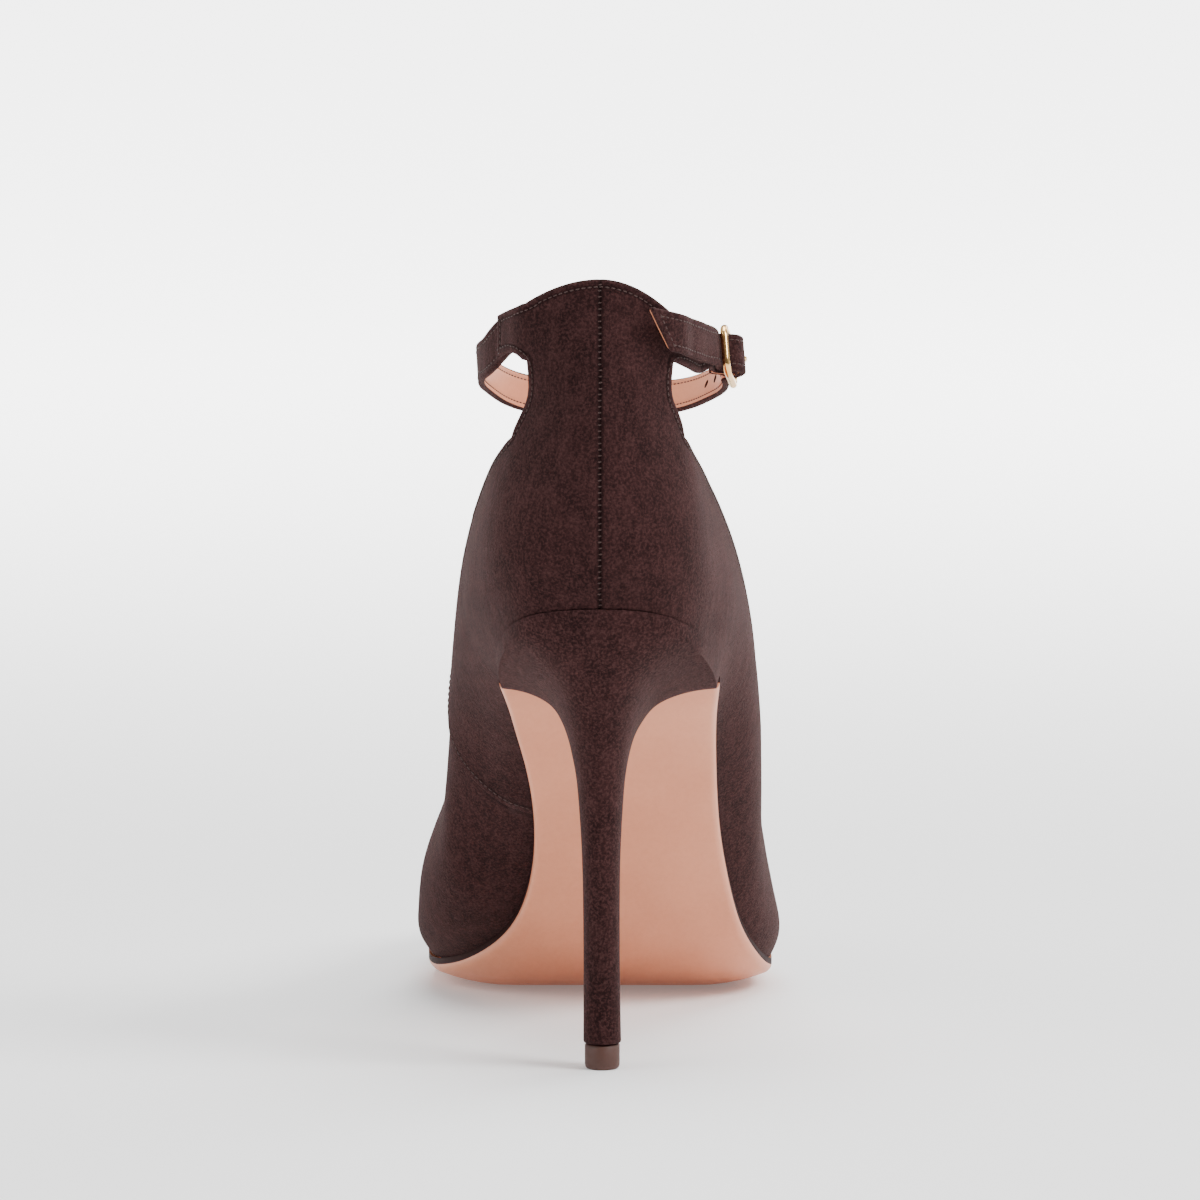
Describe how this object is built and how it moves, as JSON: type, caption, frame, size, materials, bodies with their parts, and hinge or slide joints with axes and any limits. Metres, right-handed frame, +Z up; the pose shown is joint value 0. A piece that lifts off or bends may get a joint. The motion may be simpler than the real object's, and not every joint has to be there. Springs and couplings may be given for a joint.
{
  "type": "ankle strap pump",
  "caption": "High-heeled suede pump with a pointed toe, a high counter and a buckled ankle strap; one right shoe that stands empty.",
  "frame": {"origin": "centre of the heel tip's underside, on the floor", "axes": "+Y from the heel towards the toe, +X towards the foot's outer side, +Z up"},
  "size_m": [0.0839, 0.2361, 0.177],
  "materials": {
    "suede": "dark brown suede, soft nap",
    "lining": "nude lining leather, satin",
    "sole_leather": "nude sole leather with a low sheen",
    "sole_edge": "brown edge paint, satin",
    "thread": "brown sewing thread",
    "tip": "brown wearing tip, satin",
    "gold": "polished pale gold"
  },
  "bodies": {
    "root": {"outsole": "sole_leather", "insole": "lining", "heel": "suede", "top_piece": "tip", "upper": "suede", "strap": "suede", "buckle_frame": "gold", "prong": "gold"}
  },
  "joints": []
}
